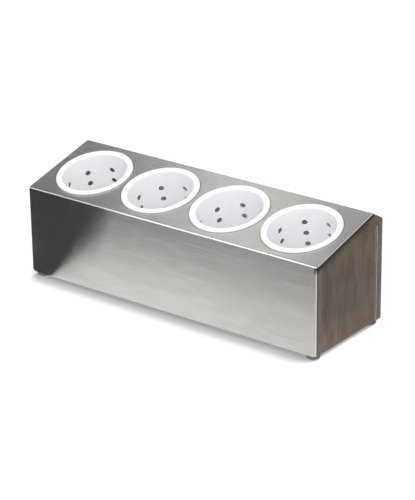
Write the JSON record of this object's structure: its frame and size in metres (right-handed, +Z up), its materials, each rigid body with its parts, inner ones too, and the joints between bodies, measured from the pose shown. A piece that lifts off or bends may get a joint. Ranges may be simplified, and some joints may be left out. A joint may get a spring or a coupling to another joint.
{
  "type": "cutlery holder",
  "caption": "Countertop cutlery holder: a folded stainless steel body with a sloping top that carries a row of lift-out perforated white cylinders, on rubber feet.",
  "frame": {"origin": "on the counter, under the middle of the holder", "axes": "+X along the holder from the left end to the right end, +Y from the front to the back, +Z up"},
  "size_m": [0.5, 0.156, 0.1683],
  "materials": {
    "brushed_steel": "fine brushed stainless steel sheet, satin",
    "white_plastic": "smooth white moulded plastic, soft gloss",
    "foot_rubber": "matt dark grey rubber",
    "fastener_steel": "plain bright steel"
  },
  "bodies": {
    "holder": {"body_shell": "brushed_steel", "left_end_panel": "brushed_steel", "right_end_panel": "brushed_steel", "foot_front_left": "foot_rubber", "foot_washer_front_left": "fastener_steel", "foot_screw_front_left": "fastener_steel", "foot_nut_front_left": "fastener_steel", "foot_front_right": "foot_rubber", "foot_washer_front_right": "fastener_steel", "foot_screw_front_right": "fastener_steel", "foot_nut_front_right": "fastener_steel", "foot_back_left": "foot_rubber", "foot_washer_back_left": "fastener_steel", "foot_screw_back_left": "fastener_steel", "foot_nut_back_left": "fastener_steel", "foot_back_right": "foot_rubber", "foot_washer_back_right": "fastener_steel", "foot_screw_back_right": "fastener_steel", "foot_nut_back_right": "fastener_steel"},
    "cylinder_1": {"cutlery_cylinder_1": "white_plastic"},
    "cylinder_2": {"cutlery_cylinder_2": "white_plastic"},
    "cylinder_3": {"cutlery_cylinder_3": "white_plastic"},
    "cylinder_4": {"cutlery_cylinder_4": "white_plastic"}
  },
  "joints": [
    {"name": "cylinder_1_lift", "type": "slide", "parent": "holder", "child": "cylinder_1", "axis": [0, -0.248, 0.9688], "range_m": [0, 0.15]},
    {"name": "cylinder_2_lift", "type": "slide", "parent": "holder", "child": "cylinder_2", "axis": [0, -0.248, 0.9688], "range_m": [0, 0.15]},
    {"name": "cylinder_3_lift", "type": "slide", "parent": "holder", "child": "cylinder_3", "axis": [0, -0.248, 0.9688], "range_m": [0, 0.15]},
    {"name": "cylinder_4_lift", "type": "slide", "parent": "holder", "child": "cylinder_4", "axis": [0, -0.248, 0.9688], "range_m": [0, 0.15]}
  ]
}
